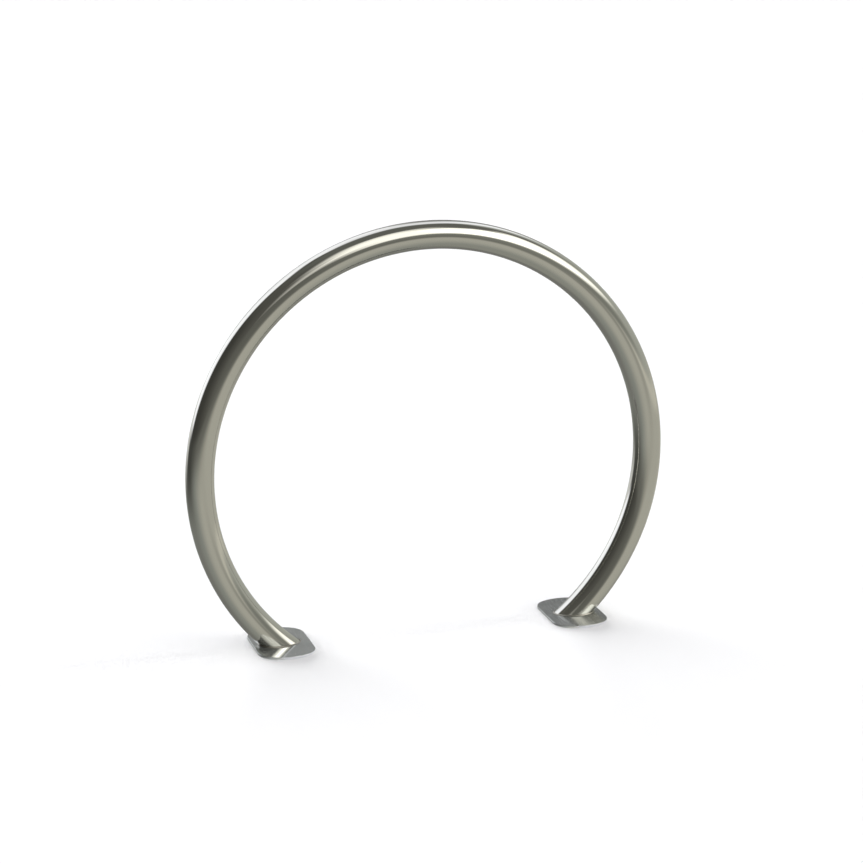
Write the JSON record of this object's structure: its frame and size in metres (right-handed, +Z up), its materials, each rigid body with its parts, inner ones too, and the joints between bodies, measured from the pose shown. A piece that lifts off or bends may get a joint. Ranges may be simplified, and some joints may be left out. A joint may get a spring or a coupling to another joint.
{
  "type": "hoop bike rack",
  "caption": "Free-standing round tubular hoop for leaning and locking bicycles, on flat welded base plates.",
  "frame": {"origin": "on the ground, midway between the two feet, which is the middle of the bounding box's bottom", "axes": "+X across the hoop's width, towards the right foot as the picture shows it; +Y horizontal and square to the hoop, away from the picture's viewer; +Z up"},
  "size_m": [1.055, 0.187, 0.9],
  "materials": {
    "polished_tube": "stainless tube, polished to a soft mirror",
    "polished_plate": "stainless plate, polished",
    "dressed_weld": "stainless weld, ground and polished"
  },
  "bodies": {
    "root": {"hoop_tube": "polished_tube", "left_base_plate": "polished_plate", "right_base_plate": "polished_plate", "left_foot_weld": "dressed_weld", "right_foot_weld": "dressed_weld"}
  },
  "joints": []
}
